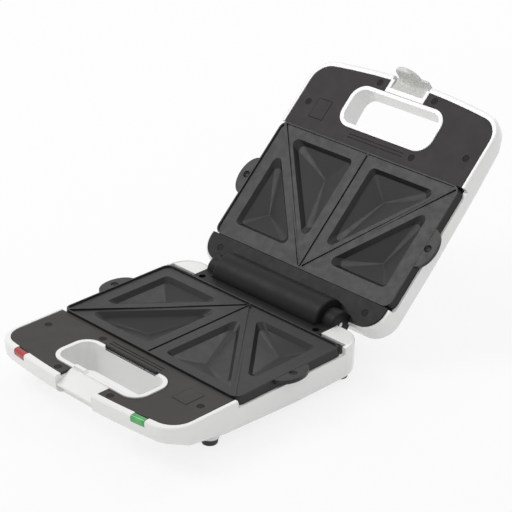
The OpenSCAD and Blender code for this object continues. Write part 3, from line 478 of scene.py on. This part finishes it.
carried = {
    "lower_heater": heaterSteel, "upper_heater": heaterSteel,
    "lower_tray": shieldSteel, "upper_tray": shieldSteel,
    "hinge_pins": brightSteel, "hinge_cover_screws": brightSteel,
    "upper_cover_screws": blackSteel, "latch_pin": brightSteel,
    "lower_bezel_screws": blackSteel, "upper_bezel_screws": blackSteel,
    "neon_lamps": bulbGlass, "thermostat": ceramic, "thermal_fuse": brightSteel,
    "terminal_block": ceramic, "lower_catch": hingePlastic, "upper_catch": hingePlastic,
}
for name, material in carried.items():
    data = nodes[name].data
    data.materials.clear()
    data.materials.append(material)
print("small pieces made")


# Floor, light and camera

stageLook = {"floor": 0.86, "white": 0.80, "radius": 6.0, "rough": 0.9, "fill": 0.74,
             "lampsFace": (0, 0, 0.08)}


# One for camera, glossy and transmission rays, else zero
def raySum(tree):
    path = tree.nodes.new("ShaderNodeLightPath")
    first = tree.nodes.new("ShaderNodeMath")
    first.operation = "MAXIMUM"
    second = tree.nodes.new("ShaderNodeMath")
    second.operation = "MAXIMUM"
    tree.links.new(path.outputs["Is Camera Ray"], first.inputs[0])
    tree.links.new(path.outputs["Is Glossy Ray"], first.inputs[1])
    tree.links.new(first.outputs[0], second.inputs[0])
    tree.links.new(path.outputs["Is Transmission Ray"], second.inputs[1])
    return second.outputs[0]


floorBm = bmesh.new()
bmesh.ops.create_circle(floorBm, cap_ends=True, segments=96, radius=stageLook["radius"])
floorMesh = bpy.data.meshes.new("paleFloor")
floorBm.to_mesh(floorMesh)
floorBm.free()
floorObj = bpy.data.objects.new("paleFloor", floorMesh)
bpy.context.scene.collection.objects.link(floorObj)
floorPaint = bpy.data.materials.new("paleFloorPaint")
floorPaint.use_nodes = True
tree = floorPaint.node_tree
shader = tree.nodes["Principled BSDF"]
socket(shader, "Base Color", (stageLook["floor"],) * 3 + (1,))
socket(shader, "Roughness", stageLook["rough"])
socket(shader, "Specular IOR Level", 0.0)
glow = tree.nodes.new("ShaderNodeEmission")
mixShader = tree.nodes.new("ShaderNodeMixShader")
share = tree.nodes.new("ShaderNodeMath")
share.operation = "MULTIPLY"
share.inputs[1].default_value = stageLook["white"]
tree.links.new(raySum(tree), share.inputs[0])
tree.links.new(share.outputs[0], mixShader.inputs[0])
tree.links.new(shader.outputs[0], mixShader.inputs[1])
tree.links.new(glow.outputs[0], mixShader.inputs[2])
tree.links.new(mixShader.outputs[0], tree.nodes["Material Output"].inputs["Surface"])
floorMesh.materials.append(floorPaint)

world = bpy.data.worlds.new("softWorld")
bpy.context.scene.world = world
world.use_nodes = True
tree = world.node_tree
sky = tree.nodes["Background"]
sky.inputs["Color"].default_value = (1, 1, 1, 1)
strength = tree.nodes.new("ShaderNodeMapRange")
strength.inputs["To Min"].default_value = stageLook["fill"]
strength.inputs["To Max"].default_value = 1.0
tree.links.new(raySum(tree), strength.inputs["Value"])
tree.links.new(strength.outputs["Result"], sky.inputs["Strength"])

lampPlaces = [
    ("keyLight", (-1.3, -0.9, 1.9), 1.3, 17),
    ("backLight", (-0.6, 1.6, 1.5), 1.0, 7),
]
for name, spot, size, power in lampPlaces:
    lamp = bpy.data.lights.new(name, "AREA")
    lamp.shape = "DISK"
    lamp.size = size
    lamp.energy = power
    lampObj = bpy.data.objects.new(name, lamp)
    lampObj.location = spot
    aim = Vector(stageLook["lampsFace"]) - Vector(spot)
    lampObj.rotation_euler = aim.to_track_quat("-Z", "Y").to_euler()
    bpy.context.scene.collection.objects.link(lampObj)

cameraPlace = {"azimuth": 44.86, "elevation": 26.11, "roll": 0.577, "lens": 129.14, "sensor": 36,
               "spot": (1.0740, -1.0794, 0.8361)}
az, el, roll = (math.radians(cameraPlace[k]) for k in ("azimuth", "elevation", "roll"))
back = Vector((math.sin(az) * math.cos(el), -math.cos(az) * math.cos(el), math.sin(el)))
right = Vector((math.cos(az), math.sin(az), 0))
up = back.cross(right)
turnedRight = right * math.cos(roll) + up * math.sin(roll)
turnedUp = up * math.cos(roll) - right * math.sin(roll)
camera = bpy.data.cameras.new("photoCamera")
camera.lens = cameraPlace["lens"]
camera.sensor_width = cameraPlace["sensor"]
cameraObj = bpy.data.objects.new("photoCamera", camera)
cameraObj.matrix_world = (
    Matrix.Translation(cameraPlace["spot"])
    @ Matrix((turnedRight, turnedUp, back)).transposed().to_4x4()
)
bpy.context.scene.collection.objects.link(cameraObj)
bpy.context.scene.camera = cameraObj
bpy.context.scene.view_settings.view_transform = "Standard"
print("stage made")
